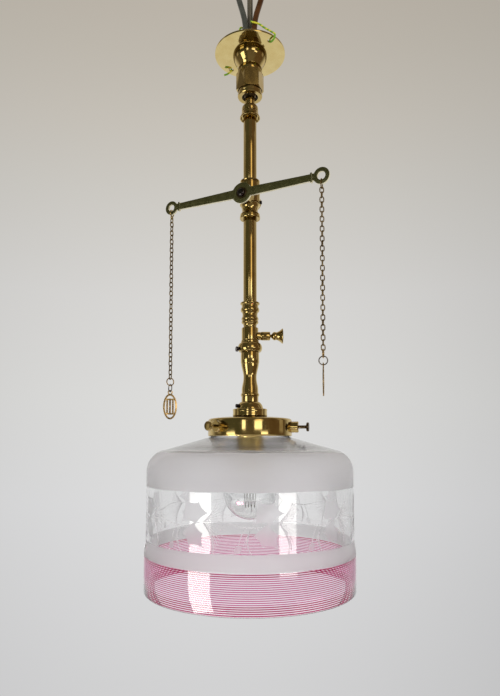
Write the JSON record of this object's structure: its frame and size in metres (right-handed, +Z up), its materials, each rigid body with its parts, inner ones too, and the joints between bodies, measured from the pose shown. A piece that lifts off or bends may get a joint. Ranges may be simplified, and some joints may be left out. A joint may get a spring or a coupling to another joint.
{
  "type": "gas ceiling light",
  "caption": "Brass gas pendant with a ball swing joint, lever cock on two chains and tags, small tap, three-screw gallery and an etched, pink-threaded glass shade, fitted with an electric lamp.",
  "frame": {"origin": "centre of the ceiling plate's upper face, on the stem's axis", "axes": "+Z up along the stem, +X to the right of the picture's view, +Y away from its viewer"},
  "size_m": [0.2068, 0.208, 0.6405],
  "materials": {
    "polished_brass": "polished",
    "pale_brass": "polished, slightly worn",
    "aged_brass": "satin, darkened by age",
    "bronze_wire": "dark, worn",
    "gilt_metal": "satin",
    "dark_steel": "blackened",
    "grey_sheath": "smooth",
    "brown_sheath": "smooth",
    "earth_sheath": "green with yellow stripes",
    "white_plastic": "smooth",
    "black_plastic": "smooth",
    "packing_cord": "greased cord",
    "shade_glass": "clear with frosted bands, an etched leaf band and pink threads",
    "lamp_glass": "clear"
  },
  "bodies": {
    "ceiling": {"ceiling_plate": "pale_brass", "plate_bush": "black_plastic", "ceiling_boss": "polished_brass", "union_nut": "polished_brass", "flex_connector": "white_plastic", "tail_flex": "grey_sheath", "flex_left": "grey_sheath", "flex_middle": "grey_sheath", "flex_right": "brown_sheath", "tie_wire": "earth_sheath", "ceiling_block": "white_plastic"},
    "packing": {"packing_ring": "packing_cord"},
    "stem": {"ball_stem": "polished_brass", "upper_collar": "polished_brass", "upper_tube": "polished_brass", "cock_body": "polished_brass", "cock_grub_screw": "dark_steel", "lower_tube": "polished_brass", "ringed_union": "polished_brass", "tap_body": "polished_brass", "clamp_ring": "polished_brass", "clamp_screw": "dark_steel", "baluster": "polished_brass", "holder_cap": "polished_brass", "cap_screw": "dark_steel", "gallery_ring": "polished_brass", "gallery": "polished_brass", "lampholder": "polished_brass", "insulator": "white_plastic", "inner_flex": "grey_sheath", "shade": "shade_glass"},
    "lever": {"cock_plug": "aged_brass", "lever": "aged_brass", "lever_washer": "aged_brass", "lever_screw": "dark_steel", "tail_washer": "polished_brass", "tail_nut": "polished_brass"},
    "left_chain": {"left_s_link": "gilt_metal", "left_chain": "bronze_wire", "left_upper_ring": "gilt_metal", "left_lower_ring": "bronze_wire"},
    "left_tag": {"left_tag": "gilt_metal"},
    "right_chain": {"right_hanger": "bronze_wire", "right_chain": "bronze_wire", "right_upper_ring": "gilt_metal", "right_lower_ring": "bronze_wire"},
    "right_tag": {"right_tag": "gilt_metal"},
    "tap_key": {"tap_key": "polished_brass"},
    "thumbscrew_right": {"thumbscrew_right": "dark_steel"},
    "thumbscrew_left": {"thumbscrew_left": "dark_steel"},
    "thumbscrew_rear": {"thumbscrew_rear": "dark_steel"},
    "contact_near": {"contact_near": "polished_brass"},
    "contact_far": {"contact_far": "polished_brass"},
    "lamp": {"lamp_cap": "polished_brass", "lamp_glass": "lamp_glass", "lamp_stem": "lamp_glass", "filament": "dark_steel"}
  },
  "joints": [
    {"name": "swing_sideways", "type": "hinge", "parent": "ceiling", "child": "packing", "pos_m": [0, 0, -0.0415], "axis": [0, 1, 0], "range_deg": [-12, 12]},
    {"name": "swing_to_and_fro", "type": "hinge", "parent": "packing", "child": "stem", "pos_m": [0, 0, -0.0415], "axis": [1, 0, 0], "range_deg": [-12, 12]},
    {"name": "cock_lever", "type": "hinge", "parent": "stem", "child": "lever", "pos_m": [0, 0, -0.1595], "axis": [-0.4384, -0.8988, 0], "range_deg": [-18, 18]},
    {"name": "left_chain_hang", "type": "hinge", "parent": "lever", "child": "left_chain", "pos_m": [-0.0841, 0.02032, -0.1595], "axis": [-0.4384, -0.8988, 0], "range_deg": [-18, 18]},
    {"name": "right_chain_hang", "type": "hinge", "parent": "lever", "child": "right_chain", "pos_m": [0.06779, -0.05376, -0.1595], "axis": [-0.4384, -0.8988, 0], "range_deg": [-18, 18]},
    {"name": "left_tag_swing", "type": "hinge", "parent": "left_chain", "child": "left_tag", "pos_m": [-0.0841, 0.02032, -0.35813], "axis": [0.5299, -0.848, 0], "range_deg": [-20, 20]},
    {"name": "right_tag_swing", "type": "hinge", "parent": "right_chain", "child": "right_tag", "pos_m": [0.06779, -0.05376, -0.33983], "axis": [0.9903, -0.1392, 0], "range_deg": [-20, 20]},
    {"name": "tap_key_turn", "type": "hinge", "parent": "stem", "child": "tap_key", "pos_m": [0, 0, -0.3027], "axis": [1, 0, 0], "range_deg": [0, 270]},
    {"name": "screw_right_out", "type": "slide", "parent": "stem", "child": "thumbscrew_right", "axis": [0.9781, -0.2079, 0], "range_m": [0, 0.003]},
    {"name": "screw_left_out", "type": "slide", "parent": "stem", "child": "thumbscrew_left", "axis": [-0.6691, -0.7431, 0], "range_m": [0, 0.003]},
    {"name": "screw_rear_out", "type": "slide", "parent": "stem", "child": "thumbscrew_rear", "axis": [-0.309, 0.9511, 0], "range_m": [0, 0.003]},
    {"name": "contact_near_press", "type": "slide", "parent": "stem", "child": "contact_near", "axis": [0, 0, 1], "range_m": [0, 0.002]},
    {"name": "contact_far_press", "type": "slide", "parent": "stem", "child": "contact_far", "axis": [0, 0, 1], "range_m": [0, 0.002]},
    {"name": "lamp_turn", "type": "hinge", "parent": "stem", "child": "lamp", "pos_m": [0, 0, -0.4106], "axis": [0, 0, 1], "range_deg": [0, 22]}
  ],
  "couplings": [
    {"joint": "left_chain_hang", "follows": "cock_lever", "ratio": -1},
    {"joint": "right_chain_hang", "follows": "cock_lever", "ratio": -1}
  ]
}
